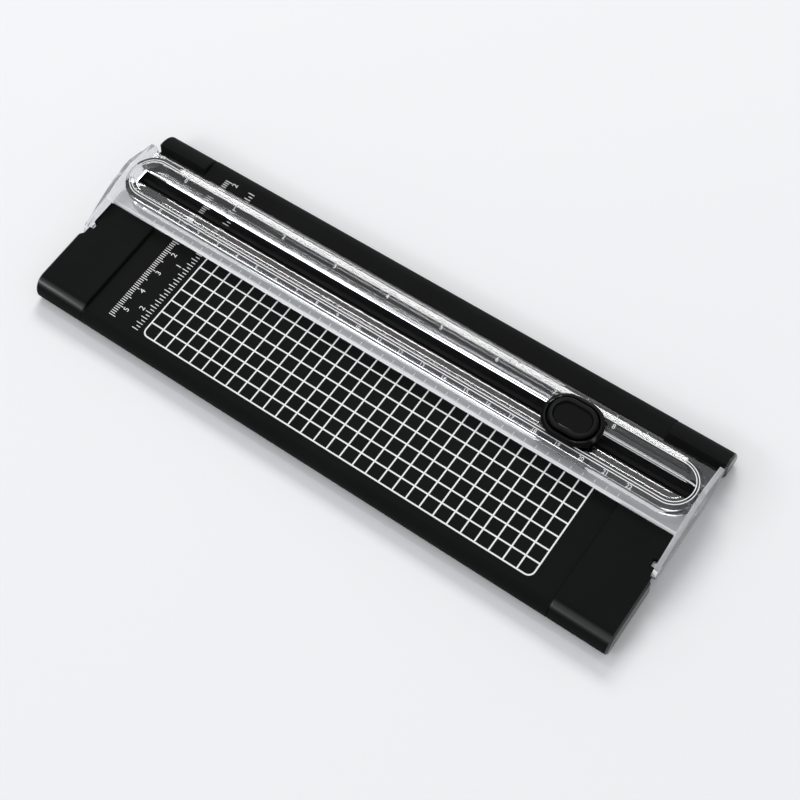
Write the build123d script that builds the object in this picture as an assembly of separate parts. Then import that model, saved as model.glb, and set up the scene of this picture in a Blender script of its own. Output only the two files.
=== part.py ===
"""Sliding paper trimmer: a base with a sunk platform, a hinged clear rail and a sprung blade carriage.

Millimetres, +Z up. X runs along the cut and -Y is the user's side. The origin is on the table, under
the middle of the trimmer. The rail is down and the button is up.
"""
from build123d import *
import math
import os

# Base
LENGTH = 270.0             # overall, along the cut
DEPTH = 90.0               # overall, front to rear
PLATFORM_LENGTH = 220.0    # between the raised end blocks
BLOCK_TOP = 10.5           # top of the end blocks above the table
PLATFORM_DROP = 1.6        # platform below the end blocks
FOOT_PROUD = 0.8           # lower edge of the shell above the table
BLOCK_NOSE = 7.0           # upper front and rear edges of the end blocks
PLATFORM_NOSE = 4.5        # upper front and rear edges of the platform
TUCK = 2.2                 # lower front and rear edges
STEP_ROUND = 0.7           # upper edge of the step down to the platform
END_BEVEL = 0.6            # outline of the end faces
WALL = 2.0                 # walls of the shell
RIB = 1.4                  # thickness of the ribs
RIB_PITCH = 36.0
RIB_LIFT = 1.2             # ribs stop short of the shell's lower edge
FRONT_RIB_INSET = 29.0     # front rib from the front edge

# Rubber feet
FOOT_RADIUS = 5.0
FOOT_SUNK = 1.0            # depth of a foot in its seat
FOOT_BEVEL = 0.5
FOOT_END_INSET = 15.0      # middle of a foot from the end of the base
FOOT_SIDE_INSET = 12.0     # middle of a foot from the front or rear edge
SEAT_WALL = 1.5
SEAT_GAP = 0.05

# Cutting strip
STRIP_WIDTH = 4.0
STRIP_THICKNESS = 1.6
STRIP_GAP = 0.05
STRIP_END_GAP = 3.0        # strip short of the arm recess
GROOVE_WIDTH = 0.9         # groove that the blade runs in
GROOVE_DEPTH = 1.2

# Rail
CUT_INSET = 26.5           # line of the cut from the rear edge of the base
PAPER_GAP = 0.3            # rail above the platform
FLANGE_HALF = 15.1         # cut line to the ruler edge
FLANGE = 1.2
BEVEL_RUN = 1.1            # sloped ruler edge
BEVEL_DROP = 0.8
TRACK_HALF = 11.2          # cut line to the outside of the raised track
SHOULDER = 6.8             # top of the outer wall, above the rail's underside
SHOULDER_ROUND = 0.9
CREST_HALF = 7.5           # cut line to the highest line of a ridge
CREST = 7.8
CREST_ROUND = 4.0
VALLEY = 6.7               # ridge at the slot's sloped edge
SLOT_HALF = 3.75
SLOT_SLOPE = 1.1           # run of that edge
SLOT_SLOPE_DROP = 0.3
SLOT_END = 1.6             # end of the slot from the arm
TUNNEL = 3.4               # height of the wider tunnel under the slot
TUNNEL_GAP = 0.4           # keeper to the sides of that tunnel
EDGE_GAP = 0.6             # ruler edges to the walls of their channel
CHANNEL_SLOPE = 2.4        # run of the sloped rear wall of the channel

# Rail arms and hinge
ARM = 1.8                  # thickness of an arm
ARM_GAP = 0.2
TRACK_SINK = 0.5           # end of the track inside the arm
PIVOT_FORWARD = 28.1       # hinge pin in front of the cut line
PIVOT_Z = 7.5
ARM_TIP = 4.0              # radius of the arm around its pin
ARM_CREST = 8.5            # radius of the arm's highest bend
ARM_CREST_RISE = 2.0       # highest bend above the crest of the roof
ARM_BROW = 6.0             # radius of the bend in front of the highest one
ARM_BROW_FORWARD = 8.5     # that bend in front of the cut line
ARM_BROW_DROP = 1.1        # that bend below the highest one
ARM_TAIL = 2.0             # radius of the arm's upper rear corner
ARM_TAIL_DROP = 4.1        # upper rear corner below the highest bend
ARM_HEEL = 1.2             # radius of the arm's lower rear corner
PIN_RADIUS = 1.6
PIN_LENGTH = 1.8
PIN_GAP = 0.05
SEAT_MOUTH = 2.6           # neck that the pin snaps through
MOUTH_FLARE = 3.7          # width of the mouth at the top
RECESS_GAP = 0.9           # arm to the front and rear walls of its recess
RECESS_SPLAY = 2.2         # outward slant of those walls
HINGE_BOSS = 3.0           # depth of the seat behind the end wall
HINGE_BOSS_WALL = 2.6

# Carriage
CARRIAGE_INSET = 54.5      # middle of the carriage from the right end at rest
RUN_GAP = 0.3              # between the carriage and the rail
KNOB_FLAT = 5.4            # straight run of the oval knob's sides
COLLAR_RADIUS = 9.4
COLLAR_FLOOR = 0.6
COLLAR_OVERLAP = 0.4       # collar above the underside of the button
COLLAR_BEVEL = 1.0
COLLAR_UNDERCUT = 0.6      # bevel under the collar
COLLAR_LEAD = 0.6          # bevel around the button
NECK_HALF = 10.4           # half length of the neck in the slot
KEEPER_HALF = 11.0
KEEPER_RADIUS = 4.5
KEEPER = 1.2
GUARD_RADIUS = 3.4
GUARD_HALF = 7.2
GUARD_GAP = 0.5            # guard above the platform
PEG_SIDE = 2.0
PEG_HEIGHT = 1.1
PEG_GAP = 0.05
WELL_FLOOR = 1.5

# Button, blade and springs
TRAVEL = 1.2               # press of the button
STOP_GAP = 0.15            # left under the button at full press
BUTTON_RADIUS = 6.9
BUTTON_GAP = 0.3
BUTTON_PROUD = 1.2         # button above the collar
BUTTON_BEVEL = 0.5
DISH_RADIUS = 5.2
DISH_DEPTH = 0.8
DISH_TAPER = 35.0
STEM_HALF = 3.6
STEM_THICKNESS = 4.0
HOLDER_BLOCK = 2.4         # height of the holder above its flange
HOLDER_FLANGE = 1.4
HOLDER_FLANGE_HALF = 5.4
HOLDER_STOP = 0.1          # holder flange below the neck at rest
BLADE = 0.4
BLADE_SLIT_GAP = 0.05
BLADE_HALF = 3.0
BLADE_BODY = 2.2           # upright edge of the blade above its slanted edges
BLADE_HIDE = 0.5           # tip above the platform at rest
BLADE_TOP_GAP = 0.3        # blade below the top of its holder
RIVET_RADIUS = 0.6
RIVET_GAP = 0.05
SPRING_X = 6.6
SPRING_RADIUS = 1.5        # to the middle of the wire
SPRING_WIRE = 0.4
SPRING_TURNS = 5
SPRING_STEPS = 10          # straight runs in each turn
SPRING_SIDES = 6           # sides of the thin wire
SPRING_WELL = 1.9          # radius of the well
SPRING_SOCKET = 0.3        # depth of the socket in the button

# Levels and places that follow
platform_top = BLOCK_TOP - PLATFORM_DROP
recess_x = LENGTH / 2 - ARM - ARM_GAP
cavity_x = recess_x - WALL
cavity_top = platform_top - WALL
foot_x = LENGTH / 2 - FOOT_END_INSET
foot_y = DEPTH / 2 - FOOT_SIDE_INSET
cut_y = DEPTH / 2 - CUT_INSET
rail_bottom = platform_top + PAPER_GAP
arm_x = LENGTH / 2 - ARM
track_x = arm_x + TRACK_SINK - TRACK_HALF
slot_x = arm_x - SLOT_END
channel_front = cut_y - FLANGE_HALF - EDGE_GAP
channel_rear = cut_y + FLANGE_HALF + EDGE_GAP
pivot_y = cut_y - PIVOT_FORWARD
recess_front = pivot_y - ARM_TIP - RECESS_GAP
recess_rear = cut_y + FLANGE_HALF + RECESS_GAP
carriage_x = LENGTH / 2 - CARRIAGE_INSET
tunnel_half = KEEPER_RADIUS + TUNNEL_GAP
tunnel_top = rail_bottom + TUNNEL
keeper_top = tunnel_top - RUN_GAP
collar_bottom = rail_bottom + CREST + RUN_GAP
collar_floor = collar_bottom + COLLAR_FLOOR
button_bottom = collar_floor + TRAVEL + STOP_GAP
collar_top = button_bottom + COLLAR_OVERLAP
button_top = collar_top + BUTTON_PROUD
well_floor = keeper_top + WELL_FLOOR
holder_flange_top = keeper_top - HOLDER_STOP
stem_bottom = holder_flange_top + HOLDER_BLOCK
blade_tip = platform_top + BLADE_HIDE


def both_ends(piece):
    """A piece at the right end, with its mirror image at the left end."""
    return piece + mirror(piece, about=Plane.YZ)


def box(x, y, z):
    """A block between two places on each axis."""
    size = [high - low for low, high in (x, y, z)]
    middle = [(high + low) / 2 for low, high in (x, y, z)]
    return Pos(*middle) * Box(*size)


def oval(half_length, radius, low, high):
    """An upright bar with an oval outline, long along X."""
    outline = SlotOverall(2 * half_length, 2 * radius)
    return Pos(0, 0, low) * extrude(outline, amount=high - low)


def knob_oval(radius, low, high):
    """An oval of the knob's family: the same straight sides at every radius."""
    return oval(KNOB_FLAT / 2 + radius, radius, low, high)


def base_section(top, nose):
    """Front to rear outline of the base, with round upper edges and tucked lower ones."""
    height = top - FOOT_PROUD
    section = Pos(0, FOOT_PROUD + height / 2) * Rectangle(DEPTH, height)
    section = fillet(section.vertices().group_by(Axis.Y)[-1], nose)
    return fillet(section.vertices().group_by(Axis.Y)[0], TUCK)


def end_blocks():
    """Raised blocks at both ends, their steps rounded, with the channel that the rail lies in."""
    block_length = (LENGTH - PLATFORM_LENGTH) / 2
    section = base_section(BLOCK_TOP, BLOCK_NOSE)
    block = extrude(Plane.YZ.offset(PLATFORM_LENGTH / 2) * section, amount=block_length)
    step_edge = block.edges().filter_by(Axis.Y).group_by(Axis.Z)[-1].sort_by(Axis.X)[0]
    block = fillet(step_edge, STEP_ROUND)
    block = chamfer(block.faces().sort_by(Axis.X)[-1].edges(), END_BEVEL)
    rear_top = channel_rear + CHANNEL_SLOPE
    channel = make_face(Polyline((channel_front, platform_top), (channel_rear, platform_top),
                                 (rear_top, BLOCK_TOP), (rear_top, LENGTH), (channel_front, LENGTH),
                                 close=True))
    return both_ends(block - extrude(Plane.YZ * channel, amount=LENGTH))


def arm_recess():
    """Space for the arm at the right end, its front and rear walls slanted outward."""
    front = recess_front - RECESS_SPLAY
    rear = recess_rear + RECESS_SPLAY
    outline = make_face(Polyline((recess_x, recess_front), (LENGTH / 2, front), (LENGTH, front),
                                 (LENGTH, rear), (LENGTH / 2, rear), (recess_x, recess_rear), close=True))
    return extrude(outline, amount=LENGTH)


def base_cavity():
    """Hollow of the base, open below."""
    depth = DEPTH - 2 * (WALL + TUCK)
    height = cavity_top
    section = Pos(0, height / 2) * Rectangle(depth, height)
    section = fillet(section.vertices().group_by(Axis.Y)[-1], PLATFORM_NOSE - WALL)
    return extrude(Plane.YZ * section, amount=cavity_x, both=True)


def base_ribs():
    """Ribs, strip trough, foot seats and hinge bosses inside the hollow of the base."""
    low = FOOT_PROUD + RIB_LIFT
    front_y = FRONT_RIB_INSET - DEPTH / 2
    ribs = [box((-cavity_x, cavity_x), (front_y - RIB / 2, front_y + RIB / 2), (low, cavity_top))]
    steps = int((foot_x - FOOT_RADIUS - SEAT_WALL) / RIB_PITCH)
    for step in range(-steps, steps + 1):
        x = step * RIB_PITCH
        ribs.append(box((x - RIB / 2, x + RIB / 2), (-DEPTH / 2, DEPTH / 2), (low, cavity_top)))
    trough_half = STRIP_WIDTH / 2 + STRIP_GAP + RIB
    trough_low = platform_top - STRIP_THICKNESS - RIB
    trough_y = (cut_y - trough_half, cut_y + trough_half)
    ribs.append(box((-cavity_x, cavity_x), trough_y, (trough_low, cavity_top)))
    boss_half = PIN_RADIUS + HINGE_BOSS_WALL
    boss_y = (pivot_y - boss_half, pivot_y + boss_half)
    ribs.append(both_ends(box((cavity_x - HINGE_BOSS, cavity_x), boss_y, (low, cavity_top))))
    for x, y in foot_places():
        half = FOOT_RADIUS + SEAT_WALL
        ribs.append(box((x - half, x + half), (y - half, y + half), (FOOT_PROUD, cavity_top)))
    return base_cavity() & (Part() + ribs)


def foot_places():
    return [(x, y) for y in (-foot_y, foot_y) for x in (-foot_x, foot_x)]


def hinge_seat():
    """Round seat for the pin with a sprung neck and a flared mouth at the top, at the right end."""
    bore = Pos(0, PIVOT_Z) * Circle(PIN_RADIUS + PIN_GAP)
    neck_top = BLOCK_TOP - (MOUTH_FLARE - SEAT_MOUTH) / 2
    neck = Pos(0, (PIVOT_Z + BLOCK_TOP) / 2) * Rectangle(SEAT_MOUTH, BLOCK_TOP - PIVOT_Z)
    flare = make_face(Polyline((-SEAT_MOUTH / 2, neck_top), (SEAT_MOUTH / 2, neck_top),
                               (MOUTH_FLARE / 2, BLOCK_TOP), (-MOUTH_FLARE / 2, BLOCK_TOP), close=True))
    depth = PIN_LENGTH + ARM_GAP
    seat = extrude(Plane.YZ.offset(recess_x - depth) * (bore + neck + flare), amount=depth)
    return Pos(0, pivot_y, 0) * seat


def base_shell():
    """Black moulding: platform, end blocks, arm recesses, hinge seats, strip groove and foot seats."""
    section = Plane.YZ * base_section(platform_top, PLATFORM_NOSE)
    platform = extrude(section, amount=PLATFORM_LENGTH / 2, both=True)
    shell = platform + end_blocks() - base_cavity() + base_ribs()
    shell -= both_ends(arm_recess())
    shell -= both_ends(hinge_seat())
    groove_x = recess_x - STRIP_END_GAP + STRIP_GAP
    groove_half = STRIP_WIDTH / 2 + STRIP_GAP
    shell -= box((-groove_x, groove_x), (cut_y - groove_half, cut_y + groove_half),
                 (platform_top - STRIP_THICKNESS, LENGTH))
    for x, y in foot_places():
        shell -= Pos(x, y, 0) * extrude(Circle(FOOT_RADIUS + SEAT_GAP), amount=FOOT_PROUD + FOOT_SUNK)
    return shell


def foot(x, y):
    """Rubber pad, bevelled where it meets the table."""
    pad = extrude(Circle(FOOT_RADIUS), amount=FOOT_PROUD + FOOT_SUNK)
    pad = chamfer(pad.edges().group_by(Axis.Z)[0], FOOT_BEVEL)
    return Pos(x, y, 0) * pad


def cutting_strip():
    """Soft strip flush with the platform, with the groove that the blade runs in."""
    half_length = recess_x - STRIP_END_GAP
    section = Pos(0, -STRIP_THICKNESS / 2) * Rectangle(STRIP_WIDTH, STRIP_THICKNESS)
    groove_half = GROOVE_WIDTH / 2
    section -= make_face(Polyline((-groove_half, 0), (groove_half, 0), (0, -GROOVE_DEPTH), close=True))
    return Pos(0, cut_y, platform_top) * extrude(Plane.YZ * section, amount=half_length, both=True)


def track():
    """Raised form along the rail with half-round ends: a wall and a ridge on each side of the slot."""
    shoulder = (TRACK_HALF, SHOULDER)
    crest = (CREST_HALF, CREST)
    slot_edge = VALLEY - SLOT_SLOPE_DROP
    half = make_face(Polyline((0, 0), (TRACK_HALF, 0), shoulder, crest, (SLOT_HALF + SLOT_SLOPE, VALLEY),
                              (SLOT_HALF, slot_edge), (0, slot_edge), close=True))
    for corner, radius in ((shoulder, SHOULDER_ROUND), (crest, CREST_ROUND)):
        half = fillet(half.vertices().sort_by_distance(corner)[0], radius)
    run = extrude(Plane.YZ * (half + mirror(half, about=Plane.YZ)), amount=track_x, both=True)
    end = revolve(Rot(0, 0, -90) * (Plane.XZ * half), Axis.Z, 180)
    return Pos(0, cut_y, rail_bottom) * (run + both_ends(Pos(track_x, 0, 0) * end))


def arm_outline():
    """Side of an arm: a round tip on the pin, two bends up to the slot, and two rear corners."""
    top = rail_bottom + CREST + ARM_CREST_RISE
    rear = cut_y + FLANGE_HALF
    tip = Pos(pivot_y, PIVOT_Z) * Circle(ARM_TIP)
    brow = Pos(cut_y - ARM_BROW_FORWARD, top - ARM_BROW_DROP - ARM_BROW) * Circle(ARM_BROW)
    bend = Pos(cut_y, top - ARM_CREST) * Circle(ARM_CREST)
    tail = Pos(rear - ARM_TAIL, top - ARM_TAIL_DROP - ARM_TAIL) * Circle(ARM_TAIL)
    heel = Pos(rear - ARM_HEEL, rail_bottom + ARM_HEEL) * Circle(ARM_HEEL)
    return make_hull(tip.edges() + brow.edges() + bend.edges() + tail.edges() + heel.edges())


def ruler_flange():
    """Flat plate along the rail, sloped at its front and rear edges for reading the scales."""
    edge = FLANGE_HALF - BEVEL_RUN
    low = FLANGE - BEVEL_DROP
    section = make_face(Polyline((-FLANGE_HALF, 0), (FLANGE_HALF, 0), (FLANGE_HALF, low), (edge, FLANGE),
                                 (-edge, FLANGE), (-FLANGE_HALF, low), close=True))
    return Pos(0, cut_y, rail_bottom) * extrude(Plane.YZ * section, amount=arm_x, both=True)


def guide_rail():
    """Clear moulding: ruler flange, raised track with its undercut slot, end arms and hinge pins."""
    rail = track() + ruler_flange()
    rail -= box((-slot_x, slot_x), (cut_y - SLOT_HALF, cut_y + SLOT_HALF), (rail_bottom, LENGTH))
    rail -= box((-slot_x, slot_x), (cut_y - tunnel_half, cut_y + tunnel_half), (rail_bottom, tunnel_top))
    arm = extrude(Plane.YZ.offset(arm_x) * arm_outline(), amount=ARM)
    pin = extrude(Plane.YZ.offset(arm_x - PIN_LENGTH) * Circle(PIN_RADIUS), amount=PIN_LENGTH)
    return rail + both_ends(arm + Pos(0, pivot_y, PIVOT_Z) * pin)


def on_carriage(piece):
    """Moves a piece from the carriage's own middle to its place on the rail."""
    return Pos(carriage_x, cut_y, 0) * piece


def stem_shape(gap, low, high):
    """Upright bar of the button's stem, or the pocket that it slides in."""
    half = STEM_THICKNESS / 2 + gap
    return box((-STEM_HALF - gap, STEM_HALF + gap), (-half, half), (low, high))


def at_springs(piece):
    """Places a piece at both springs of the carriage."""
    return [Pos(side * SPRING_X, 0, 0) * piece for side in (-1, 1)]


def peg(gap):
    """Square peg on the keeper, or with a gap the socket for it in the neck."""
    half = PEG_SIDE / 2 + gap
    return box((-half, half), (-half, half), (keeper_top, keeper_top + PEG_HEIGHT + gap))


def carriage_housing():
    """Oval collar around the button, with the neck that runs in the slot."""
    collar = knob_oval(COLLAR_RADIUS, collar_bottom, collar_top)
    collar = chamfer(collar.edges().group_by(Axis.Z)[0], COLLAR_UNDERCUT)
    collar -= knob_oval(BUTTON_RADIUS + BUTTON_GAP, collar_floor, collar_top)
    collar = chamfer(collar.faces().sort_by(Axis.Z)[-1].outer_wire().edges(), COLLAR_BEVEL)
    collar = chamfer(collar.faces().sort_by(Axis.Z)[-1].inner_wires()[0].edges(), COLLAR_LEAD)
    body = collar + oval(NECK_HALF, SLOT_HALF - RUN_GAP, keeper_top, collar_bottom)
    body -= stem_shape(BUTTON_GAP, keeper_top, collar_top)
    well = Pos(0, 0, well_floor) * extrude(Circle(SPRING_WELL), amount=collar_top - well_floor)
    body -= at_springs(well)
    body -= at_springs(peg(PEG_GAP))
    return on_carriage(body)


def carriage_keeper():
    """Plate under the slot, with a guard round the blade and two pegs into the neck."""
    low = keeper_top - KEEPER
    plate = oval(KEEPER_HALF, KEEPER_RADIUS, low, keeper_top)
    plate += oval(GUARD_HALF, GUARD_RADIUS, platform_top + GUARD_GAP, low)
    window_half = STEM_THICKNESS / 2 + BUTTON_GAP
    window_x = HOLDER_FLANGE_HALF + BUTTON_GAP
    plate -= box((-window_x, window_x), (-window_half, window_half), (platform_top, keeper_top))
    return on_carriage(plate + at_springs(peg(0)))


def press_button():
    """Oval button with a finger dish, spring sockets and the stem that carries the blade."""
    button = knob_oval(BUTTON_RADIUS, button_bottom, button_top)
    button = chamfer(button.edges().group_by(Axis.Z)[-1], BUTTON_BEVEL)
    dish = SlotOverall(KNOB_FLAT + 2 * DISH_RADIUS, 2 * DISH_RADIUS)
    button -= Pos(0, 0, button_top) * extrude(dish, amount=-DISH_DEPTH, taper=DISH_TAPER)
    button += stem_shape(0, stem_bottom, button_bottom)
    socket = Pos(0, 0, button_bottom) * extrude(Circle(SPRING_WELL), amount=SPRING_SOCKET)
    return on_carriage(button - at_springs(socket))


def rivet_bar(radius):
    """Round bar across the holder, through the blade."""
    middle = (holder_flange_top + stem_bottom - BLADE_TOP_GAP) / 2
    bar = extrude(Plane.XZ * Circle(radius), amount=STEM_THICKNESS / 2, both=True)
    return Pos(0, 0, middle) * bar


def blade_holder():
    """Block under the stem with a slit for the blade and a flange that stops the button's rise."""
    low = holder_flange_top - HOLDER_FLANGE
    half = STEM_THICKNESS / 2
    holder = stem_shape(0, low, stem_bottom)
    holder += box((-HOLDER_FLANGE_HALF, HOLDER_FLANGE_HALF), (-half, half), (low, holder_flange_top))
    slit_half = BLADE / 2 + BLADE_SLIT_GAP
    slit_x = BLADE_HALF + BLADE_SLIT_GAP
    slit_top = stem_bottom - BLADE_TOP_GAP + BLADE_SLIT_GAP
    holder -= box((-slit_x, slit_x), (-slit_half, slit_half), (low, slit_top))
    return on_carriage(holder - rivet_bar(RIVET_RADIUS + RIVET_GAP))


def blade():
    """Steel blade with two slanted edges, so that it cuts both ways."""
    top = stem_bottom - BLADE_TOP_GAP
    upright = top - BLADE_BODY
    outline = make_face(Polyline((-BLADE_HALF, top), (BLADE_HALF, top), (BLADE_HALF, upright), (0, blade_tip),
                                 (-BLADE_HALF, upright), close=True))
    steel = extrude(Plane.XZ * outline, amount=BLADE / 2, both=True)
    return on_carriage(steel - rivet_bar(RIVET_RADIUS + RIVET_GAP))


def blade_rivet():
    return on_carriage(rivet_bar(RIVET_RADIUS))


def return_spring(side):
    """Coil spring between the floor of its well and the socket in the button."""
    low = well_floor + SPRING_WIRE / 2
    high = button_bottom + SPRING_SOCKET - SPRING_WIRE / 2
    steps = SPRING_TURNS * SPRING_STEPS
    path = Polyline([(SPRING_RADIUS * math.cos(2 * math.pi * step / SPRING_STEPS),
                      SPRING_RADIUS * math.sin(2 * math.pi * step / SPRING_STEPS),
                      low + (high - low) * step / steps) for step in range(steps + 1)])
    start = Plane(origin=path @ 0, z_dir=path % 0)
    wire = start * RegularPolygon(SPRING_WIRE / 2, SPRING_SIDES)
    return on_carriage(Pos(side * SPRING_X, 0, 0) * sweep(wire, path=path, transition=Transition.RIGHT))


def pieces():
    """Every piece of the trimmer by name."""
    named = {
        "base_shell": base_shell(),
        "cutting_strip": cutting_strip(),
        "guide_rail": guide_rail(),
        "carriage_housing": carriage_housing(),
        "carriage_keeper": carriage_keeper(),
        "press_button": press_button(),
        "blade_holder": blade_holder(),
        "blade": blade(),
        "blade_rivet": blade_rivet(),
        "return_spring_left": return_spring(-1),
        "return_spring_right": return_spring(1),
    }
    foot_names = ("foot_front_left", "foot_front_right", "foot_rear_left", "foot_rear_right")
    for name, place in zip(foot_names, foot_places()):
        named[name] = foot(*place)
    return named


os.makedirs("parts", exist_ok=True)
for name, piece in pieces().items():
    export_step(piece, f"parts/{name}.step")
    print(f"{name}: {len(piece.solids())} solid, {piece.volume:.1f} mm3")
print(f"height {button_top:.2f}, carriage at most {slot_x - NECK_HALF:.1f} from the middle of the rail")
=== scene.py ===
# %% [markdown]
# A small sliding paper trimmer: a matte black base with a printed measuring grid, a clear rail that
# swings up to let the paper in, and a black oval knob that carries a tiny blade along the rail.
# The solid model is loaded first and never moved, so every finish lands where the part really is.

# %% Load the solid model
import math
import bmesh
import bpy
from mathutils import Matrix, Quaternion, Vector
from mathutils.bvhtree import BVHTree


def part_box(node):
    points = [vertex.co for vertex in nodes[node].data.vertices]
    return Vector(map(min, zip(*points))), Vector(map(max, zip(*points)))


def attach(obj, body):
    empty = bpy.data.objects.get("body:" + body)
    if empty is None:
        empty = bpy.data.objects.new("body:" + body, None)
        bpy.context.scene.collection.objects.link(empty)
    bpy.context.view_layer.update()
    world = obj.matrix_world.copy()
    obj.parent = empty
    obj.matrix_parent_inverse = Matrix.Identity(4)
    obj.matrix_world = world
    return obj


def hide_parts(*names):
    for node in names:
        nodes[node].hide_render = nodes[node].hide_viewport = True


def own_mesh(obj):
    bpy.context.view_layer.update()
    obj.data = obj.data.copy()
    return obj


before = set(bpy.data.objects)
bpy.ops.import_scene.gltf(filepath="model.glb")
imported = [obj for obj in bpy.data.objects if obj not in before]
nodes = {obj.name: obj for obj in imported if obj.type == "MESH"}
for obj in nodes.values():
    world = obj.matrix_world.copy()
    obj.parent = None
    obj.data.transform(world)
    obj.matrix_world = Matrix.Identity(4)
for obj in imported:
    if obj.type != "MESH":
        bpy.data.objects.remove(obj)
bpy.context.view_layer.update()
MM = 0.001

# %% [markdown]
# The picture is taken from above the right front corner, with the camera rolled a little, so that the
# trimmer lies on a diagonal. A spot, an aim on the table and a roll are easier to read than a matrix.
# Tracking the aim gives a level camera, and one turn about its own axis adds the roll.

# %% Camera
CAMERA_SPOT = Vector((197.99, -182.13, 494.93)) * MM
CAMERA_AIM = Vector((16.21, -2.51, 0.0)) * MM
CAMERA_ROLL = math.radians(-10.97)
SENSOR = 36.0
FOCAL_LENGTH = 65.34


def add_object(name, data):
    """A new object in the scene, from a camera, a mesh or a lamp."""
    thing = bpy.data.objects.new(name, data)
    bpy.context.scene.collection.objects.link(thing)
    return thing


def aimed(spot, aim, roll=0.0):
    """The place of something at a spot that faces its aim, rolled about its own axis."""
    level = (aim - spot).to_track_quat("-Z", "Y")
    turn = level @ Quaternion((0, 0, 1), roll)
    return Matrix.Translation(spot) @ turn.to_matrix().to_4x4()


camera_data = bpy.data.cameras.new("camera")
camera_data.sensor_width = SENSOR
camera_data.lens = FOCAL_LENGTH
camera = add_object("camera", camera_data)
camera.matrix_world = aimed(CAMERA_SPOT, CAMERA_AIM, CAMERA_ROLL)
bpy.context.scene.camera = camera
bpy.context.scene.view_settings.view_transform = "Standard"
print("camera stands", round((CAMERA_AIM - CAMERA_SPOT).length / MM), "mm from its aim")

# %% [markdown]
# Several finishes share the same small effects. A node group is the way to build such an effect once:
# it has named sockets, and each material places it with its own values. The first one is the fine
# spark-eroded grain of a mould, which gives black plastic its soft sheen. Larger cloudy patches go with
# it, because no moulding is equally dull all over.

# %% Node group: moulded grain
GRAIN_DETAIL = 2.0
PATCH_DETAIL = 4.0


def new_group(name, inputs, outputs):
    """An empty shader group with value sockets, and its input and output nodes."""
    group = bpy.data.node_groups.new(name, "ShaderNodeTree")
    for socket, value in inputs.items():
        made = group.interface.new_socket(name=socket, in_out="INPUT", socket_type="NodeSocketFloat")
        made.default_value = value
    for socket in outputs:
        group.interface.new_socket(name=socket, in_out="OUTPUT", socket_type="NodeSocketFloat")
    return group, group.nodes.new("NodeGroupInput"), group.nodes.new("NodeGroupOutput")


def own_place(tree):
    """The piece's own coordinates, so that a pattern stays where it is when the piece moves."""
    return tree.nodes.new("ShaderNodeTexCoord").outputs["Object"]


def noise(tree, place, scale, detail):
    """A noise from 0 to 1, with its place and its scale from other sockets."""
    texture = tree.nodes.new("ShaderNodeTexNoise")
    texture.inputs["Detail"].default_value = detail
    tree.links.new(place, texture.inputs["Vector"])
    tree.links.new(scale, texture.inputs["Scale"])
    return texture.outputs["Fac"]


def socket_names(group, side):
    """The names of a group's sockets on one side."""
    return [item.name for item in group.interface.items_tree if item.in_out == side]


grain_group, grain_in, grain_out = new_group(
    "moulded_grain", {"Grain Scale": 3500.0, "Patch Scale": 60.0}, ("Height", "Patches"))
grain_place = own_place(grain_group)
fine_grain = noise(grain_group, grain_place, grain_in.outputs["Grain Scale"], GRAIN_DETAIL)
patches = noise(grain_group, grain_place, grain_in.outputs["Patch Scale"], PATCH_DETAIL)
grain_group.links.new(fine_grain, grain_out.inputs["Height"])
grain_group.links.new(patches, grain_out.inputs["Patches"])
print("group", grain_group.name, "puts out", socket_names(grain_group, "OUTPUT"))

# %% [markdown]
# The second effect is handling: cloudy smudges where fingers have been, and hair-fine scratches from
# paper. Scratches come from noise that is stretched in one direction, and only its peaks are kept. The
# same stretched noise without fine detail gives the soft flow lines that a mould leaves in clear plastic.

# %% Node group: handling marks
SMUDGE_DETAIL = 5.0
SCRATCH_DETAIL = 3.0
FLOW_DETAIL = 0.0
STRETCH = (30.0, 1.0, 1.0)
SMUDGES_FROM = (0.45, 0.7)
SCRATCHES_FROM = (0.66, 0.74)


def peaks(tree, source, low, high):
    """Keeps one end of a value: 0 at low, 1 at high, and a soft step between them."""
    keep = tree.nodes.new("ShaderNodeMapRange")
    keep.interpolation_type = "SMOOTHSTEP"
    keep.inputs["From Min"].default_value = low
    keep.inputs["From Max"].default_value = high
    tree.links.new(source, keep.inputs["Value"])
    return keep.outputs["Result"]


marks_group, marks_in, marks_out = new_group(
    "handling_marks", {"Smudge Scale": 45.0, "Scratch Scale": 900.0, "Turn": 0.05},
    ("Smudges", "Scratches", "Flow"))
marks_place = own_place(marks_group)
turned = marks_group.nodes.new("ShaderNodeCombineXYZ")
marks_group.links.new(marks_in.outputs["Turn"], turned.inputs["Z"])
stretch = marks_group.nodes.new("ShaderNodeMapping")
stretch.vector_type = "TEXTURE"
stretch.inputs["Scale"].default_value = STRETCH
marks_group.links.new(turned.outputs["Vector"], stretch.inputs["Rotation"])
marks_group.links.new(marks_place, stretch.inputs["Vector"])

stretched = stretch.outputs["Vector"]
smudges = noise(marks_group, marks_place, marks_in.outputs["Smudge Scale"], SMUDGE_DETAIL)
scratches = noise(marks_group, stretched, marks_in.outputs["Scratch Scale"], SCRATCH_DETAIL)
flow = noise(marks_group, stretched, marks_in.outputs["Scratch Scale"], FLOW_DETAIL)
marks_group.links.new(peaks(marks_group, smudges, *SMUDGES_FROM), marks_out.inputs["Smudges"])
marks_group.links.new(peaks(marks_group, scratches, *SCRATCHES_FROM), marks_out.inputs["Scratches"])
marks_group.links.new(flow, marks_out.inputs["Flow"])
print("group", marks_group.name, "puts out", socket_names(marks_group, "OUTPUT"))

# %% [markdown]
# Every finish is one shader with a few nodes in front of it. They could be wired by hand in each
# material, but the same few turn up in all of them: a shared effect, a range of values, a mix of two
# colours, a bump and a calculation. A small function for each keeps the materials short enough to read.

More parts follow.
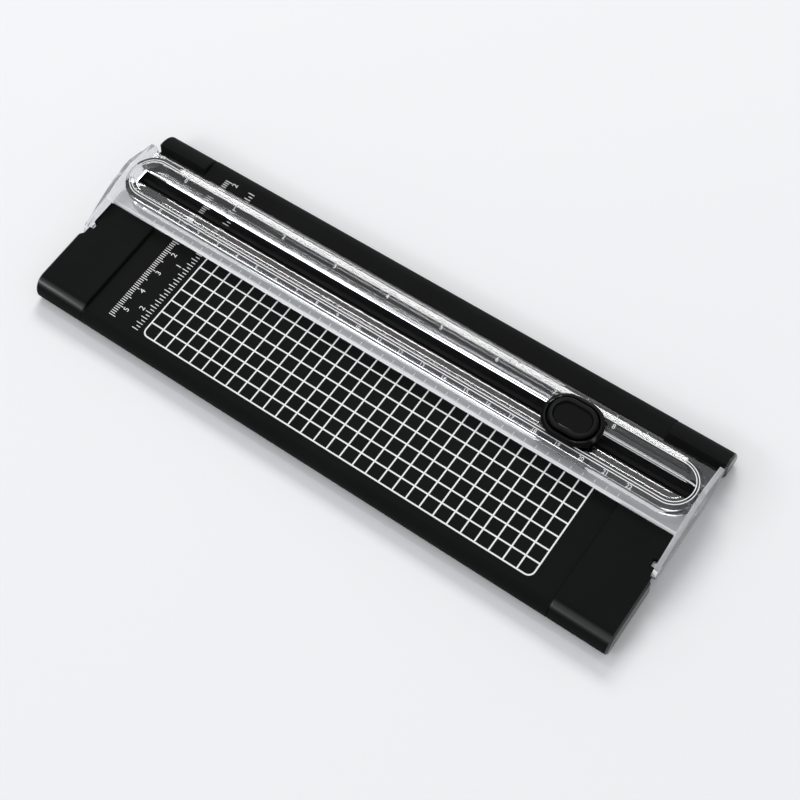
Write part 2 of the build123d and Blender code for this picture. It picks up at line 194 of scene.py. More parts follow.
# %% Helpers for materials
def principled(name):
    """A new material, its node tree and its shader."""
    material = bpy.data.materials.new(name)
    material.use_nodes = True
    return material, material.node_tree, material.node_tree.nodes["Principled BSDF"]


def place_group(tree, group, **values):
    """Puts a shared effect in a material, with its own values."""
    placed = tree.nodes.new("ShaderNodeGroup")
    placed.node_tree = group
    for socket, value in values.items():
        placed.inputs[socket.replace("_", " ")].default_value = value
    return placed


def value_range(tree, source, low, high):
    """Spreads a value of 0 to 1 over a chosen range."""
    spread = tree.nodes.new("ShaderNodeMapRange")
    spread.inputs["To Min"].default_value = low
    spread.inputs["To Max"].default_value = high
    tree.links.new(source, spread.inputs["Value"])
    return spread.outputs["Result"]


def mixed_colour(tree, factor, dark, light):
    """A colour between two, by a value that changes over the surface."""
    mix = tree.nodes.new("ShaderNodeMix")
    mix.data_type = "RGBA"
    mix.inputs["A"].default_value = (*dark, 1.0)
    mix.inputs["B"].default_value = (*light, 1.0)
    tree.links.new(factor, mix.inputs["Factor"])
    return mix.outputs["Result"]


def bump(tree, height, distance, strength):
    """A normal from a height that changes over the surface, with its depth in metres."""
    node = tree.nodes.new("ShaderNodeBump")
    node.inputs["Distance"].default_value = distance
    node.inputs["Strength"].default_value = strength
    tree.links.new(height, node.inputs["Height"])
    return node.outputs["Normal"]


def calculated(tree, operation, *sources):
    """The result of a calculation on values that change."""
    node = tree.nodes.new("ShaderNodeMath")
    node.operation = operation
    for socket, source in zip(node.inputs, sources):
        tree.links.new(source, socket)
    return node.outputs["Value"]


print("a material may set", socket_names(grain_group, "INPUT") + socket_names(marks_group, "INPUT"))

# %% [markdown]
# The black mouldings are not one black. The base is dull, the knob is satin from handling, the feet are
# rubber and the strip under the blade is soft vinyl. One function makes them all: the grain feeds a
# bump, and patches and smudges move the colour and the roughness a little.

# %% Black plastics and rubber
GRAIN_STRENGTH = 0.5


def black_moulding(name, dark, light, dull, shiny, gloss, grain_scale, grain_depth):
    """Black plastic or rubber: mould grain, cloudy patches and handling smudges."""
    material, tree, shader = principled(name)
    grain = place_group(tree, grain_group, Grain_Scale=grain_scale)
    marks = place_group(tree, marks_group)
    tree.links.new(mixed_colour(tree, grain.outputs["Patches"], dark, light), shader.inputs["Base Color"])
    rough = value_range(tree, grain.outputs["Patches"], dull, (dull + shiny) / 2)
    worn = value_range(tree, marks.outputs["Smudges"], 0.0, (shiny - dull) / 2)
    tree.links.new(calculated(tree, "ADD", rough, worn), shader.inputs["Roughness"])
    grained = bump(tree, grain.outputs["Height"], grain_depth, GRAIN_STRENGTH)
    tree.links.new(grained, shader.inputs["Normal"])
    shader.inputs["Specular IOR Level"].default_value = gloss
    return material


base_plastic = black_moulding(
    "base_plastic", dark=(0.0035, 0.0038, 0.0038), light=(0.0055, 0.0058, 0.0057),
    dull=0.7, shiny=0.6, gloss=0.06, grain_scale=2600.0, grain_depth=0.02 * MM)
knob_plastic = black_moulding(
    "knob_plastic", dark=(0.0012, 0.0013, 0.0013), light=(0.002, 0.0021, 0.0021),
    dull=0.46, shiny=0.36, gloss=0.06, grain_scale=4000.0, grain_depth=0.005 * MM)
strip_vinyl = black_moulding(
    "strip_vinyl", dark=(0.003, 0.003, 0.0032), light=(0.004, 0.004, 0.0045),
    dull=0.7, shiny=0.6, gloss=0.2, grain_scale=3000.0, grain_depth=0.02 * MM)
foot_rubber = black_moulding(
    "foot_rubber", dark=(0.006, 0.006, 0.006), light=(0.011, 0.011, 0.011),
    dull=0.85, shiny=0.75, gloss=0.25, grain_scale=1800.0, grain_depth=0.03 * MM)
print("black finishes:", [m.name for m in (base_plastic, knob_plastic, strip_vinyl, foot_rubber)])

# %% [markdown]
# Hands hold the trimmer by its end blocks, and have worn a band along their rounded fronts and their end
# faces shiny. A coat over the plastic gives that shine. Its weight is a mask on the piece's own
# coordinates that fades in and out, so it stays on the blocks and leaves the platform dull.

# %% Shiny ends of the base
BLOCK_FROM = (109.5 * MM, 110.5 * MM)
NOSE_FROM = (-39.4 * MM, -41.2 * MM)
NOSE_TO = (-43.4 * MM, -41.8 * MM)
END_FACE_FROM = (134.0 * MM, 134.4 * MM)
SHINE_ROUGHNESS = 0.25

base_tree = base_plastic.node_tree
base_shader = base_tree.nodes["Principled BSDF"]
apart = base_tree.nodes.new("ShaderNodeSeparateXYZ")
base_tree.links.new(own_place(base_tree), apart.inputs["Vector"])
from_middle = calculated(base_tree, "ABSOLUTE", apart.outputs["X"])
nose_rear = peaks(base_tree, apart.outputs["Y"], *NOSE_FROM)
nose_front = peaks(base_tree, apart.outputs["Y"], *NOSE_TO)
nose_band = calculated(base_tree, "MULTIPLY", nose_rear, nose_front)
on_nose = calculated(base_tree, "MULTIPLY", nose_band, peaks(base_tree, from_middle, *BLOCK_FROM))
on_end = peaks(base_tree, from_middle, *END_FACE_FROM)
base_tree.links.new(calculated(base_tree, "MAXIMUM", on_nose, on_end), base_shader.inputs["Coat Weight"])
base_shader.inputs["Coat Roughness"].default_value = SHINE_ROUGHNESS
print("shiny from", round(BLOCK_FROM[0] / MM, 1), "mm to the ends")

# %% [markdown]
# The thumb rubs the edges of the knob until they shine, while its faces stay dull. Pointiness tells how
# far a mesh stands out at each corner, so it picks out the rounded edges, and the coat goes on there.

# %% Rubbed edges of the knob
RUBBED_FROM = (0.516, 0.575)
RUBBED_ROUGHNESS = 0.15

knob_tree = knob_plastic.node_tree
knob_shader = knob_tree.nodes["Principled BSDF"]
standing_out = knob_tree.nodes.new("ShaderNodeNewGeometry").outputs["Pointiness"]
knob_tree.links.new(peaks(knob_tree, standing_out, *RUBBED_FROM), knob_shader.inputs["Coat Weight"])
knob_shader.inputs["Coat Roughness"].default_value = RUBBED_ROUGHNESS
print("edges rubbed from a pointiness of", RUBBED_FROM[0])

# %% [markdown]
# The rail is clear plastic. Real clear parts are never perfect glass: smudges and hair scratches
# roughen them a little, and flow lines from the mould make their reflections waver. That is what tells
# the eye that a surface is there. Transmission and the refractive index stay plain values on the shader.

# %% Clear plastic
CLEAR_IOR = 1.58
CLEAR_COLOUR = (0.97, 0.972, 0.985, 1.0)
SMUDGE_ROUGHNESS = (0.015, 0.05)
SCRATCH_ROUGHNESS = (0.0, 0.12)
FLOW_DEPTH = 0.04 * MM
FLOW_STRENGTH = 0.5

clear_plastic, clear_tree, clear_shader = principled("clear_plastic")
clear_marks = place_group(clear_tree, marks_group, Smudge_Scale=70.0, Scratch_Scale=1500.0)
smudged = value_range(clear_tree, clear_marks.outputs["Smudges"], *SMUDGE_ROUGHNESS)
scratched = value_range(clear_tree, clear_marks.outputs["Scratches"], *SCRATCH_ROUGHNESS)
clear_tree.links.new(calculated(clear_tree, "ADD", smudged, scratched), clear_shader.inputs["Roughness"])
flow_lines = place_group(clear_tree, marks_group, Scratch_Scale=420.0, Turn=0.01)
wavy = bump(clear_tree, flow_lines.outputs["Flow"], FLOW_DEPTH, FLOW_STRENGTH)
clear_tree.links.new(wavy, clear_shader.inputs["Normal"])
clear_shader.inputs["Base Color"].default_value = CLEAR_COLOUR
clear_shader.inputs["Transmission Weight"].default_value = 1.0
clear_shader.inputs["IOR"].default_value = CLEAR_IOR
print("clear plastic with an index of", CLEAR_IOR)

# %% [markdown]
# The blade and the springs are steel. Grinding leaves fine parallel lines, so the same stretched
# scratches move the roughness, and the smudges darken the metal a little.

# %% Steel
def steel(name, dark, light, smooth, rough):
    """Bare steel with grinding lines."""
    material, tree, shader = principled(name)
    marks = place_group(tree, marks_group, Smudge_Scale=300.0, Scratch_Scale=6000.0)
    tree.links.new(mixed_colour(tree, marks.outputs["Smudges"], light, dark), shader.inputs["Base Color"])
    tree.links.new(value_range(tree, marks.outputs["Scratches"], smooth, rough), shader.inputs["Roughness"])
    shader.inputs["Metallic"].default_value = 1.0
    return material


blade_steel = steel("blade_steel", dark=(0.5, 0.5, 0.51), light=(0.64, 0.64, 0.65),
                    smooth=0.22, rough=0.4)
spring_steel = steel("spring_steel", dark=(0.38, 0.38, 0.4), light=(0.52, 0.52, 0.54),
                     smooth=0.3, rough=0.45)
print("steels:", blade_steel.name, spring_steel.name)

# %% [markdown]
# Most inner pieces and the feet are right as they come from the solid model, so they only get a finish.
# Putting it in the slot that each piece already has leaves its faces alone.

# %% Finish the pieces that keep their solid
KEPT_FINISH = {
    "carriage_keeper": knob_plastic,
    "blade_holder": knob_plastic,
    "blade": blade_steel,
    "blade_rivet": blade_steel,
    "foot_front_left": foot_rubber,
    "foot_front_right": foot_rubber,
    "foot_rear_left": foot_rubber,
    "foot_rear_right": foot_rubber,
}
for name, finish in KEPT_FINISH.items():
    for material_slot in nodes[name].material_slots:
        material_slot.material = finish
print("finished", len(KEPT_FINISH), "pieces")

# %% [markdown]
# A new piece starts as a bmesh, the mesh that a script can edit. A solid comes as loose triangles, so a
# copy of it is welded before its edges can be worked on. Each finished piece is tied to the body that it
# moves with, and follows the joints from then on.

# %% Helpers for pieces
WELD = 0.002 * MM


def welded_copy(node):
    """A copy of a solid's mesh with its loose triangles joined."""
    bm = bmesh.new()
    bm.from_mesh(nodes[node].data)
    bmesh.ops.remove_doubles(bm, verts=bm.verts, dist=WELD)
    return bm


def shade_smooth(bm):
    """Smooth shading on every face."""
    for face in bm.faces:
        face.smooth = True


def add_piece(name, bm, material, body):
    """Makes an object of a bmesh that rides on a body of the trimmer."""
    mesh = bpy.data.meshes.new(name)
    bm.to_mesh(mesh)
    bm.free()
    mesh.materials.append(material)
    piece = add_object(name, mesh)
    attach(piece, body)
    return piece


bm = welded_copy("guide_rail")
print("corners of the rail:", len(nodes["guide_rail"].data.vertices), "loose,", len(bm.verts), "welded")
bm.free()

# %% [markdown]
# No moulding has razor-sharp edges, and a small round is what draws the fine light lines along them.
# A copy of a solid is welded, its flat areas are joined, and its crisp edges are beveled. Weighted
# normals then keep the large faces flat under smooth shading. The copy stands for the solid.

# %% Soft moulded edges
FLAT_ANGLE = math.radians(0.5)
CRISP_ANGLE = math.radians(28)
LARGE_ROUND = 0.3 * MM
SMALL_ROUND = 0.2 * MM
ROUND_STEPS = 2


def soft_copy(node, name, width, material, body):
    """A copy of a solid with every crisp edge rounded, in place of the solid."""
    bm = welded_copy(node)
    bmesh.ops.dissolve_limit(bm, angle_limit=FLAT_ANGLE, verts=bm.verts, edges=bm.edges)
    crisp = [edge for edge in bm.edges if edge.is_manifold and edge.calc_face_angle() > CRISP_ANGLE]
    bmesh.ops.bevel(bm, geom=crisp, offset=width, offset_type="OFFSET", segments=ROUND_STEPS, profile=0.5,
                    affect="EDGES", clamp_overlap=True, material=-1)
    shade_smooth(bm)
    piece = add_piece(name, bm, material, body)
    weighted = piece.modifiers.new("flat faces", "WEIGHTED_NORMAL")
    weighted.keep_sharp = True
    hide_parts(node)
    print(name, "rounds", len(crisp), "edges, faces:", len(piece.data.polygons))
    return piece


soft_copy("base_shell", "moulded_base", LARGE_ROUND, base_plastic, "base")
soft_copy("carriage_housing", "knob_collar", SMALL_ROUND, knob_plastic, "carriage")
soft_copy("press_button", "knob_button", SMALL_ROUND, knob_plastic, "button")
rail = soft_copy("guide_rail", "clear_rail", LARGE_ROUND, clear_plastic, "rail")

# %% [markdown]
# The return springs shorten when the button goes down. A welded copy of each coil, smoothly shaded
# and with a mesh of its own, takes the place of the solid coil and rides on the carriage.

for side in ("left", "right"):
    node = "return_spring_" + side
    low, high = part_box(node)
    bm = welded_copy(node)
    shade_smooth(bm)
    coil = add_piece("return_coil_" + side, bm, spring_steel, "carriage")
    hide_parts(node)
    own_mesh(coil)
    print(coil.name, "is", round((high.z - low.z) / MM, 2), "mm long at rest")

# %% [markdown]
# The blade runs in a groove of the soft strip, and with use it wears the groove to its own width. One
# section with the worn groove, drawn as a face and extruded along the cut, makes the whole strip.

# %% Cutting strip
GROOVE_HALF = 0.35 * MM
GROOVE_FLOOR_HALF = 0.28 * MM
GROOVE_DEPTH = 0.9 * MM


def only(kind, parts):
    """The parts of one kind, such as vertices, out of what an operator returns."""
    return [part for part in parts if isinstance(part, kind)]


low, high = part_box("cutting_strip")
CUT_LINE = (low.y + high.y) / 2
floor = high.z - GROOVE_DEPTH
section = ((low.y, low.z), (high.y, low.z), (high.y, high.z), (CUT_LINE + GROOVE_HALF, high.z),
           (CUT_LINE + GROOVE_FLOOR_HALF, floor), (CUT_LINE - GROOVE_FLOOR_HALF, floor),
           (CUT_LINE - GROOVE_HALF, high.z), (low.y, high.z))
bm = bmesh.new()
end = bm.faces.new([bm.verts.new((low.x, y, z)) for y, z in section])
run = bmesh.ops.extrude_face_region(bm, geom=[end])["geom"]
bmesh.ops.translate(bm, vec=(high.x - low.x, 0, 0), verts=only(bmesh.types.BMVert, run))
bmesh.ops.recalc_face_normals(bm, faces=bm.faces)
strip = add_piece("grooved_strip", bm, strip_vinyl, "base")
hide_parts("cutting_strip")
print("strip:", len(strip.data.polygons), "faces")

# %% [markdown]
# The ruler flange of the rail is frosted in the mould, so that it looks milky instead of clear. Its sloped
# edge gets a near-white finish that is a painted highlight, and the narrow tops of the arms get a milky
# white that is a painted glow of light entering the clear arms. Such plastic scatters part of the
# light: its transmission is lower, and fine streaks run along one direction.

# %% Milky plastics
MILKY_ROUGHNESS = (0.05, 0.3)
STREAK_DEPTH = 0.03 * MM
STREAK_STRENGTH = 0.4
ALONG_RULER = math.radians(3)
ALONG_ARM = math.radians(80)
# The painted highlight is a near-white that stands in for light along the ruler's sloped edge and the beads.
PAINTED_HIGHLIGHT_DARK = (0.93, 0.935, 0.94)
PAINTED_HIGHLIGHT_LIGHT = (0.98, 0.985, 0.99)
PAINTED_HIGHLIGHT_ROUGHNESS = (0.3, 0.5)
PAINTED_HIGHLIGHT_CLEARNESS = 0.05


def milky_plastic(name, dark, light, clearness, turn):
    """Clear plastic that scatters part of the light, with fine streaks along one direction."""
    material, tree, shader = principled(name)
    grain = place_group(tree, grain_group, Grain_Scale=1500.0, Patch_Scale=200.0)
    marks = place_group(tree, marks_group, Smudge_Scale=250.0, Scratch_Scale=1600.0, Turn=turn)
    streaks = marks.outputs["Scratches"]
    tree.links.new(mixed_colour(tree, streaks, dark, light), shader.inputs["Base Color"])
    rough = value_range(tree, grain.outputs["Patches"], *MILKY_ROUGHNESS)
    tree.links.new(rough, shader.inputs["Roughness"])
    tree.links.new(bump(tree, streaks, STREAK_DEPTH, STREAK_STRENGTH), shader.inputs["Normal"])
    shader.inputs["Transmission Weight"].default_value = clearness
    shader.inputs["IOR"].default_value = CLEAR_IOR
    return material


frosted_plastic = milky_plastic("frosted_plastic", dark=(0.84, 0.85, 0.88), light=(0.96, 0.965, 0.98),
                                clearness=0.5, turn=ALONG_RULER)
# The arm tops' milky white is a painted glow, standing in for light that enters the clear arms.
painted_glow_plastic = milky_plastic("painted_glow_plastic", dark=(0.9, 0.9, 0.95), light=(0.98, 0.98, 1.0),
                             clearness=0.72, turn=ALONG_ARM)

# This near-white colour is a painted highlight: the ruler's edge and the beads look lit whatever the lamps.
painted_highlight, highlight_tree, highlight_shader = principled("painted_highlight")
highlight_grain = place_group(highlight_tree, grain_group, Grain_Scale=1500.0, Patch_Scale=300.0)
highlight_patches = highlight_grain.outputs["Patches"]
highlight_colour = mixed_colour(highlight_tree, highlight_patches, PAINTED_HIGHLIGHT_DARK, PAINTED_HIGHLIGHT_LIGHT)
highlight_tree.links.new(highlight_colour, highlight_shader.inputs["Base Color"])
highlight_rough = value_range(highlight_tree, highlight_patches, *PAINTED_HIGHLIGHT_ROUGHNESS)
highlight_tree.links.new(highlight_rough, highlight_shader.inputs["Roughness"])
highlight_shader.inputs["Transmission Weight"].default_value = PAINTED_HIGHLIGHT_CLEARNESS
print("milky finishes:", [m.name for m in (frosted_plastic, painted_glow_plastic, painted_highlight)])

# %% [markdown]
# Each milky finish goes on its own faces of the rail. The faces could be picked by number, but they are
# found by where they lie and which way they face, so the choice holds when the edges change.

# %% Frosted faces of the rail
RULER_TOP = 10.6 * MM
RULER_EDGE = 4.6 * MM
ARM_INNER = 133.0 * MM
UPWARD = 0.2
FORWARD = -0.3
FROSTED, BRIGHT, PAINTED_GLOW = 1, 2, 3

for finish in (frosted_plastic, painted_highlight, painted_glow_plastic):
    rail.data.materials.append(finish)
# The ruler's sloped edge gets the painted highlight, and the arm tops the painted glow.
for face in rail.data.polygons:
    faces_up = face.normal.z > UPWARD
    on_ruler = faces_up and face.center.y < CUT_LINE and face.center.z < RULER_TOP
    if on_ruler and face.normal.y < FORWARD and face.center.y < RULER_EDGE:
        face.material_index = BRIGHT
    elif faces_up and abs(face.center.x) > ARM_INNER:
        face.material_index = PAINTED_GLOW
    elif on_ruler:
        face.material_index = FROSTED
finish_of = [face.material_index for face in rail.data.polygons]
# The faces counted as worn are the arm tops with the painted glow.
print("frosted faces:", finish_of.count(FROSTED), "bright:", finish_of.count(BRIGHT),
      "worn:", finish_of.count(PAINTED_GLOW))

# %% [markdown]
# Beads and printing lie on the solids, so their heights are measured instead of guessed. A search tree
# of a solid's faces quickly finds where a downward ray meets them, and how steep the surface is there.

# %% Heights by ray
ABOVE = 100 * MM
PLATFORM_SPOT = (0.0, -20 * MM)


def surface_of(node):
    """A search tree of a solid's faces, for rays."""
    bm = bmesh.new()
    bm.from_mesh(nodes[node].data)
    tree = BVHTree.FromBMesh(bm)
    bm.free()
    return tree


def surface(tree, x, y):
    """Where a downward ray meets a solid, and which way the surface faces there."""
    place, normal, _, _ = tree.ray_cast(Vector((x, y, ABOVE)), Vector((0, 0, -1)))
    return place, normal


rail_surface = surface_of("guide_rail")
platform = surface(surface_of("base_shell"), *PLATFORM_SPOT)[0].z
print("platform at", round(platform / MM, 2), "mm")

# %% [markdown]
# Two fine raised beads run along the ridges and round the ends of the track, as two closed loops. They
# carry the near-white painted highlight, so each draws one long painted light line whatever the lamps. A
# small ring is extruded along a ridge, spun round the end, and so on back to its start. It starts at the
# height of the slope, so the bead is sunk to its middle.

# %% Beads along the ridges
BEAD_RADIUS = 0.2 * MM
BEAD_SIDES = 10
BEND_STEPS = 24
TRACK_END = 122.5 * MM
BEADS_FROM_CUT = (8.2 * MM, 9.2 * MM)


def add_bead(bm, from_cut):
    """A bead along both ridges and round both ends of the track."""
    start = surface(rail_surface, -TRACK_END, CUT_LINE - from_cut)[0]
    place = Matrix.Translation(start) @ Matrix.Rotation(math.radians(90), 4, "Y")
    ring = bmesh.ops.create_circle(bm, segments=BEAD_SIDES, radius=BEAD_RADIUS, matrix=place)["verts"]
    leading = [edge for edge in bm.edges if edge.verts[0] in ring]
    for way in (1, -1):
        run = bmesh.ops.extrude_edge_only(bm, edges=leading)["geom"]
        moved = only(bmesh.types.BMVert, run)
        bmesh.ops.translate(bm, vec=(way * 2 * TRACK_END, 0, 0), verts=moved)
        front = [edge for edge in only(bmesh.types.BMEdge, run) if all(vert in moved for vert in edge.verts)]
        bend = bmesh.ops.spin(bm, geom=moved + front, cent=(way * TRACK_END, CUT_LINE, start.z),
                              axis=(0, 0, 1), angle=math.pi, steps=BEND_STEPS)["geom_last"]
        leading = only(bmesh.types.BMEdge, bend)


beads = bmesh.new()
for from_cut in BEADS_FROM_CUT:
    add_bead(beads, from_cut)
bmesh.ops.remove_doubles(beads, verts=beads.verts, dist=WELD)
bmesh.ops.recalc_face_normals(beads, faces=beads.faces)
shade_smooth(beads)
print("bead faces:", len(beads.faces), "open edges:", sum(not edge.is_manifold for edge in beads.edges))
add_piece("ridge_beads", beads, painted_highlight, "rail")

# %% [markdown]
# White printing is a skin of ink. It could be an image on the plastic, but it is modelled as very thin
# solid marks, so it stays crisp from any distance. The ink's tone varies a little, as a screen print
# does.

# %% Printing ink
INK = 0.04 * MM
INK_DARK = (0.7, 0.71, 0.71)
INK_LIGHT = (0.88, 0.89, 0.89)
INK_ROUGHNESS = (0.45, 0.6)

print_ink, ink_tree, ink_shader = principled("print_ink")
ink_marks = place_group(ink_tree, marks_group, Smudge_Scale=400.0, Scratch_Scale=2500.0)
ink_grain = place_group(ink_tree, grain_group, Patch_Scale=900.0)
ink_colour = mixed_colour(ink_tree, ink_grain.outputs["Patches"], INK_DARK, INK_LIGHT)
ink_tree.links.new(ink_colour, ink_shader.inputs["Base Color"])
ink_rough = value_range(ink_tree, ink_marks.outputs["Smudges"], *INK_ROUGHNESS)
ink_tree.links.new(ink_rough, ink_shader.inputs["Roughness"])
print("ink of", round(INK / MM, 2), "mm")

# %% [markdown]
# The measuring grid is one net of lines. The wireframe operator turns every edge of a plain grid into
# a bar, so all lines get the same width and join cleanly. Two corners of the grid are rounded first,
# and the rear end is cut off where the rail covers it. Flattening the bars leaves a film of ink.

# %% Measuring grid
GRID_CELL = 6.06 * MM
GRID_COLUMNS = 30
GRID_ROWS = 8
GRID_FRONT_LEFT = Vector((-82.8, -37.5, 0.0)) * MM
GRID_REAR = 4.3 * MM
GRID_LINE = 0.62 * MM
GRID_CORNER = 2.6 * MM
CORNER_STEPS = 5

bm = bmesh.new()
bmesh.ops.create_grid(bm, x_segments=GRID_COLUMNS, y_segments=GRID_ROWS, size=0.5)
grid_size = Vector((GRID_COLUMNS * GRID_CELL, GRID_ROWS * GRID_CELL, 0.0))
bmesh.ops.scale(bm, vec=grid_size, verts=bm.verts)
bmesh.ops.translate(bm, vec=GRID_FRONT_LEFT + grid_size / 2, verts=bm.verts)
front_corners = [vert for vert in bm.verts
                 if len(vert.link_faces) == 1 and vert.co.y < GRID_FRONT_LEFT.y + GRID_CELL]
bmesh.ops.bevel(bm, geom=front_corners, offset=GRID_CORNER, offset_type="OFFSET", segments=CORNER_STEPS,
                profile=0.5, affect="VERTICES", clamp_overlap=True, material=-1)
bmesh.ops.wireframe(bm, faces=bm.faces[:], thickness=GRID_LINE, use_replace=True, use_boundary=True,
                    use_even_offset=True)
bmesh.ops.bisect_plane(bm, geom=bm.verts[:] + bm.edges[:] + bm.faces[:], plane_co=(0, GRID_REAR, 0),
                       plane_no=(0, 1, 0), clear_outer=True)
bmesh.ops.holes_fill(bm, edges=[edge for edge in bm.edges if edge.is_boundary])
bmesh.ops.scale(bm, vec=(1, 1, 2 * INK / GRID_LINE), verts=bm.verts)
bmesh.ops.translate(bm, vec=(0, 0, platform), verts=bm.verts)
print("grid of", GRID_COLUMNS, "columns, open edges:", sum(edge.is_boundary for edge in bm.edges))
add_piece("printed_grid", bm, print_ink, "base")

# %% [markdown]
# Two depth scales stand to the left of the grid, and both count from the cut. Each tick is a thin bar, a
# cube that is stretched, which is the lightest closed shape for it. Ticks under the rail are printed
# too, because they show through its slot, but none lies on the groove.

# %% Ticks of the depth scales
SCALE_ZERO = 17.6 * MM
SCALE_END = 38.4 * MM
GROOVE_CLEAR = 0.8 * MM
TICK = 0.31 * MM
CENTIMETRE_FOOT = -100.3 * MM
CENTIMETRE_TIPS = ((5, -97.0 * MM), (1, -98.0 * MM))
INCH_STEP = 1.44 * MM
INCH_FOOT = -85.3 * MM
INCH_TIPS = ((2, -88.3 * MM), (1, -87.2 * MM))
BAR_FACES = 6


def add_bar(bm, x, y, height):
    """A thin bar of ink between two places along X and along Y."""
    middle = Vector((sum(x) / 2, sum(y) / 2, height))
    size = (abs(x[1] - x[0]), abs(y[1] - y[0]), INK, 1.0)
    bmesh.ops.create_cube(bm, size=1.0, matrix=Matrix.Translation(middle) @ Matrix.Diagonal(size))


def depth_ticks(bm, step, foot, tips):
    """Ticks from the cut to both edges of the platform. The tick's number picks its length."""
    reach = int((SCALE_END + SCALE_ZERO) / step)
    for number in range(-reach, reach + 1):
        y = SCALE_ZERO - number * step
        if abs(y) < SCALE_END and abs(y - CUT_LINE) > GROOVE_CLEAR:
            tip = next(tip for every, tip in tips if number % every == 0)
            add_bar(bm, (foot, tip), (y - TICK / 2, y + TICK / 2), platform)


scales = bmesh.new()
depth_ticks(scales, MM, CENTIMETRE_FOOT, CENTIMETRE_TIPS)
depth_ticks(scales, INCH_STEP, INCH_FOOT, INCH_TIPS)
print("depth scale bars:", len(scales.faces) // BAR_FACES)

# %% [markdown]
# The numbers come from a font. A text curve gets its thickness from its own extrusion, is made a mesh,
# and is centred and sized by its own box before it is put in place. On the platform the numbers are
# turned a quarter, so that they are read from the right side.

# %% Numbers of the depth scales
PLAIN, BOLD = 0.0, 0.012
CURVE_STEPS = 3
CENTIMETRE = 10 * MM
TICKS_PER_INCH = 16
DEPTH_DIGIT = 2.4 * MM
CENTIMETRE_X = -95.4 * MM
INCH_X = -90.4 * MM
DEPTH_NUMBERS = (
    (CENTIMETRE_X, CENTIMETRE, (2, 3, 4, 5, -2)),
    (INCH_X, TICKS_PER_INCH * INCH_STEP, (1, 2)),
)
QUARTER_TURN = Matrix.Rotation(math.radians(90), 4, "Z")


def add_number(bm, text, height, weight, place):
    """A number of ink with its middle at the origin, moved to its place by a matrix."""
    curve = bpy.data.curves.new("number", "FONT")
    curve.body = text
    curve.resolution_u = CURVE_STEPS
    curve.offset = weight
    curve.extrude = INK / 2
    holder = bpy.data.objects.new("number", curve)
    mesh = bpy.data.meshes.new_from_object(holder)
    bpy.data.objects.remove(holder)
    low = Vector(min(vert.co[axis] for vert in mesh.vertices) for axis in range(3))
    high = Vector(max(vert.co[axis] for vert in mesh.vertices) for axis in range(3))
    size = height / (high.y - low.y)
    flat = Matrix.Diagonal((size, size, 1.0, 1.0)) @ Matrix.Translation(-(low + high) / 2)
    mesh.transform(place @ flat)
    bm.from_mesh(mesh)
    bpy.data.meshes.remove(mesh)


for x, spacing, numbers in DEPTH_NUMBERS:
    for number in numbers:
        spot = Vector((x, SCALE_ZERO - number * spacing, platform))
        add_number(scales, str(abs(number)), DEPTH_DIGIT, PLAIN, Matrix.Translation(spot) @ QUARTER_TURN)
bmesh.ops.remove_doubles(scales, verts=scales.verts, dist=WELD)
depth_scales = add_piece("printed_depth_scales", scales, print_ink, "base")
print("depth scales:", len(depth_scales.data.polygons), "faces")

# %% [markdown]
# The rail has a ruler on each side: centimetres on the front, and inches on the rear. Their ticks lie
# on the flat flange, and their numbers stand on the ridges, turned to the slope that the ray finds.

# %% Rulers of the rail
RULER_ZERO = -111.8 * MM
NUMBER_SHIFT = 2.4 * MM
RULER_TICK = 0.32 * MM
CENTIMETRE_TICKS = 45
CENTIMETRE_TICK_Y = (4.8 * MM, 6.2 * MM)
CENTIMETRE_NUMBERS = 23
CENTIMETRE_NUMBER_Y = 8.15 * MM
CENTIMETRE_DIGIT = 1.7 * MM
INCH = 25.4 * MM
INCH_TICKS = 18
INCH_TICK_Y = (31.6 * MM, 32.5 * MM)
INCH_NUMBERS = 9
INCH_NUMBER_Y = 25.2 * MM
INCH_DIGIT = 1.9 * MM


def rail_ticks(bm, step, count, y):
    """Ticks along the flange, from the ruler's zero."""
    for number in range(count):
        x = RULER_ZERO + number * step
        height = surface(rail_surface, x, sum(y) / 2)[0].z
        add_bar(bm, (x - RULER_TICK / 2, x + RULER_TICK / 2), y, height)


def rail_numbers(bm, spacing, count, y, height):
    """Numbers along a ridge, each turned to the slope under it."""
    for number in range(count):
        place, normal = surface(rail_surface, RULER_ZERO + NUMBER_SHIFT + number * spacing, y)
        lean = Vector((0, 0, 1)).rotation_difference(normal).to_matrix().to_4x4()
        add_number(bm, str(number), height, BOLD, Matrix.Translation(place) @ lean)


rulers = bmesh.new()
rail_ticks(rulers, CENTIMETRE / 2, CENTIMETRE_TICKS, CENTIMETRE_TICK_Y)
rail_ticks(rulers, INCH / 2, INCH_TICKS, INCH_TICK_Y)
rail_numbers(rulers, CENTIMETRE, CENTIMETRE_NUMBERS, CENTIMETRE_NUMBER_Y, CENTIMETRE_DIGIT)
rail_numbers(rulers, INCH, INCH_NUMBERS, INCH_NUMBER_Y, INCH_DIGIT)
bmesh.ops.remove_doubles(rulers, verts=rulers.verts, dist=WELD)
rail_rulers = add_piece("printed_rulers", rulers, print_ink, "rail")
print("rulers:", len(rail_rulers.data.polygons), "faces")

# %% [markdown]
# The trimmer lies on a pale table. The table takes its soft shadow, and is what the clear plastic shows.
# One large square is enough for it, and as a part of the stage it doesn't count as a piece.

# %% Table
TABLE_REACH = 1.2
TABLE_COLOUR = (0.87, 0.875, 0.885, 1.0)
TABLE_ROUGHNESS = 0.9

table_finish, _, table_shader = principled("table")
table_shader.inputs["Base Color"].default_value = TABLE_COLOUR
table_shader.inputs["Roughness"].default_value = TABLE_ROUGHNESS
bm = bmesh.new()
bmesh.ops.create_grid(bm, x_segments=1, y_segments=1, size=TABLE_REACH)
table_mesh = bpy.data.meshes.new("table")
bm.to_mesh(table_mesh)
bm.free()
table_mesh.materials.append(table_finish)
table = add_object("table", table_mesh)
print("table reaches", TABLE_REACH, "m")

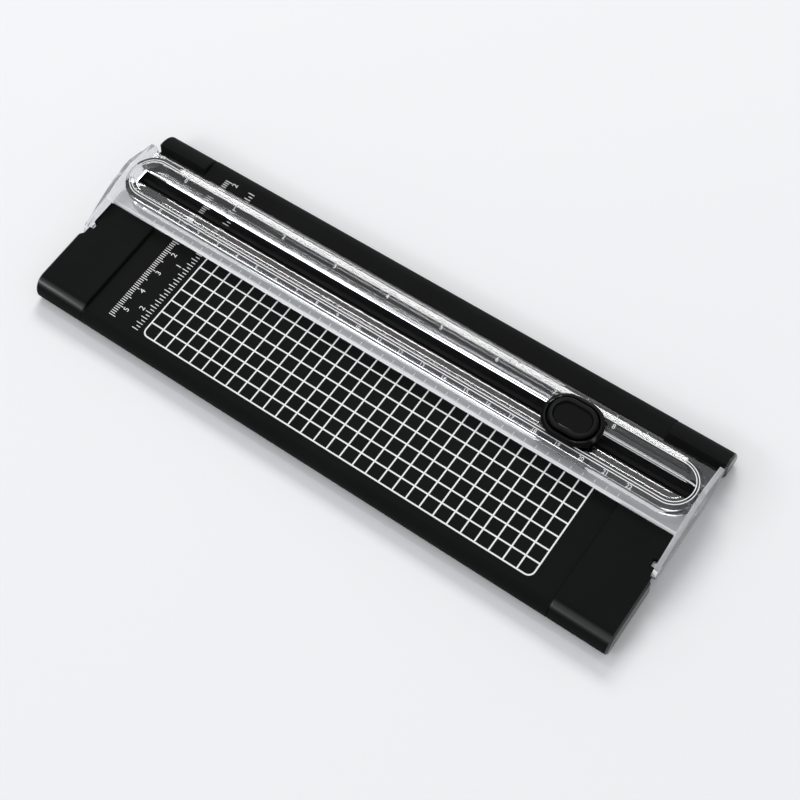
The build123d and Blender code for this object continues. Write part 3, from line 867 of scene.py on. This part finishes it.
# %% [markdown]
# Clear plastic shows little but what it mirrors, so its light is placed by reflection. For each face
# the view direction is mirrored, and a lamp there makes the face bright. A narrow softbox overhead lies
# where the flat ruler mirrors it, a wide window to the rear lights the sloped rear ridge, and a light at
# the front left draws a line along the rounded front edges.

# %% Lamps
def add_lamp(name, spot, aim, width, depth, radiance, colour):
    """A flat lamp that gives off the same radiance over its face."""
    data = bpy.data.lights.new(name, "AREA")
    data.shape = "RECTANGLE"
    data.size = width
    data.size_y = depth
    data.energy = radiance * math.pi * width * depth
    data.color = colour
    lamp = add_object(name, data)
    lamp.matrix_world = aimed(Vector(spot), Vector(aim))
    print(name, "of", round(data.energy, 1), "W")


add_lamp("window", spot=(-1.9, 4.0, 3.3), aim=(-1.9, 0.0, 0.01), width=2.6, depth=1.2,
         radiance=14.0, colour=(1.0, 0.985, 0.96))
add_lamp("softbox", spot=(-1.7, 1.32, 3.0), aim=(-1.7, 1.32, 0.0), width=1.95, depth=0.32,
         radiance=8.0, colour=(0.93, 0.96, 1.0))
add_lamp("front_light", spot=(-1.5, -2.4, 1.75), aim=(0.0, 0.0, 0.01), width=2.0, depth=0.6,
         radiance=5.0, colour=(0.96, 0.98, 1.0))

# %% [markdown]
# An even pale world fills the rest, so colours come out about as written. The camera sees it as a paler
# backdrop behind the table, and so do glossy and transmitted rays, so that steel and clear plastic show
# the same backdrop as the picture.

# %% World
WORLD_COLOUR = (0.97, 0.98, 1.0, 1.0)
WORLD_LEVEL = 0.62
BACKDROP_LEVEL = 0.8

world = bpy.data.worlds.new("world")
world.use_nodes = True
world_tree = world.node_tree
backdrop = world_tree.nodes["Background"]
backdrop.inputs["Color"].default_value = WORLD_COLOUR
rays = world_tree.nodes.new("ShaderNodeLightPath").outputs
bounced = calculated(world_tree, "MAXIMUM", rays["Is Glossy Ray"], rays["Is Transmission Ray"])
seen = calculated(world_tree, "MAXIMUM", rays["Is Camera Ray"], bounced)
strength = value_range(world_tree, seen, WORLD_LEVEL, BACKDROP_LEVEL)
world_tree.links.new(strength, backdrop.inputs["Strength"])
bpy.context.scene.world = world
print("world of", WORLD_LEVEL, "and a backdrop of", BACKDROP_LEVEL)
